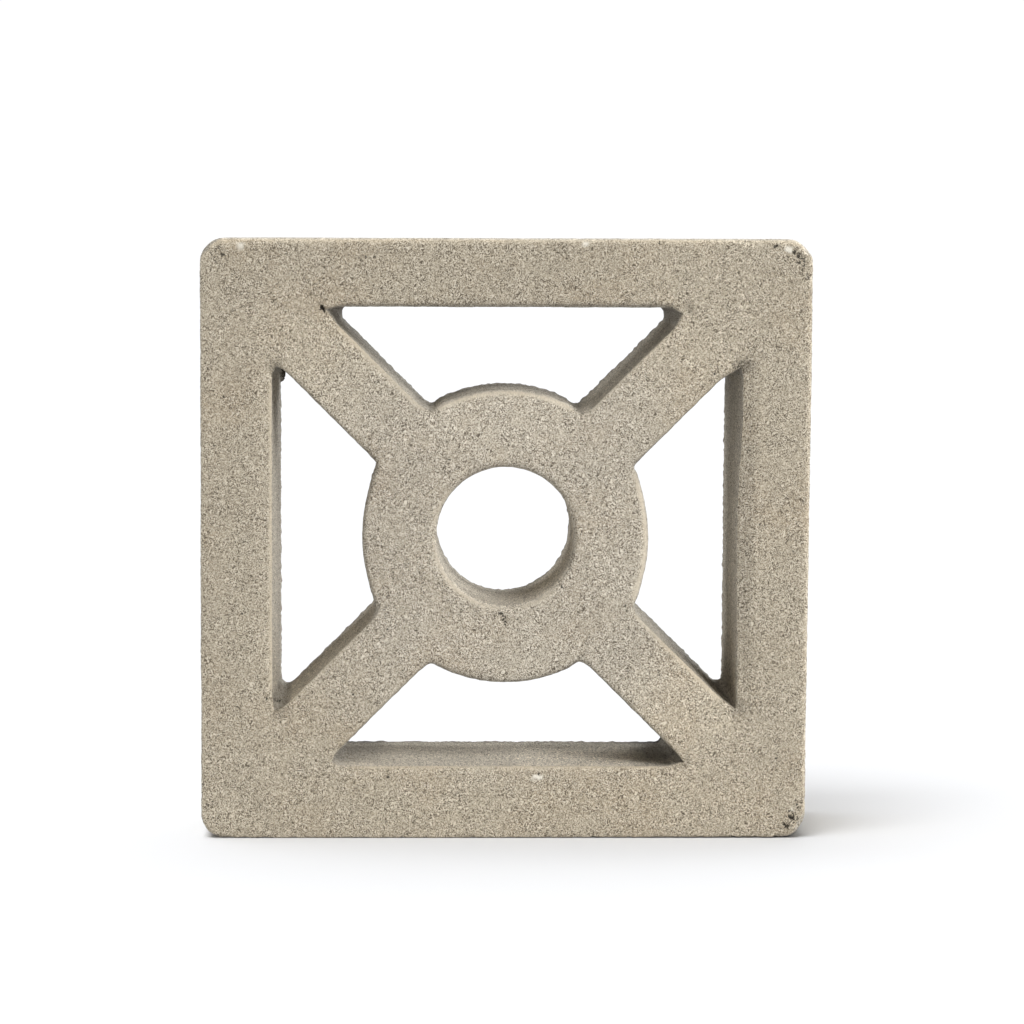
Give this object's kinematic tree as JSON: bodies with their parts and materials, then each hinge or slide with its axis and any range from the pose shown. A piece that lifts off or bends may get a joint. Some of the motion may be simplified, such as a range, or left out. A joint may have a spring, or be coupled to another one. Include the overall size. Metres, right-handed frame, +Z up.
{
  "type": "decorative screen block",
  "caption": "Cast concrete screen block: square frame with diagonal arms that carry a pierced round hub, laid in courses to make an open garden wall.",
  "frame": {"origin": "middle of the underside, the bed face that the block stands on", "axes": "+X along the width to the right seen from the front, +Y from the front face to the back face, +Z up"},
  "size_m": [0.29, 0.09, 0.286],
  "materials": {
    "concrete": "unpainted cast sand-cement concrete, matte and sandy, with small pores"
  },
  "bodies": {
    "root": {"screen_block": "concrete"}
  },
  "joints": []
}
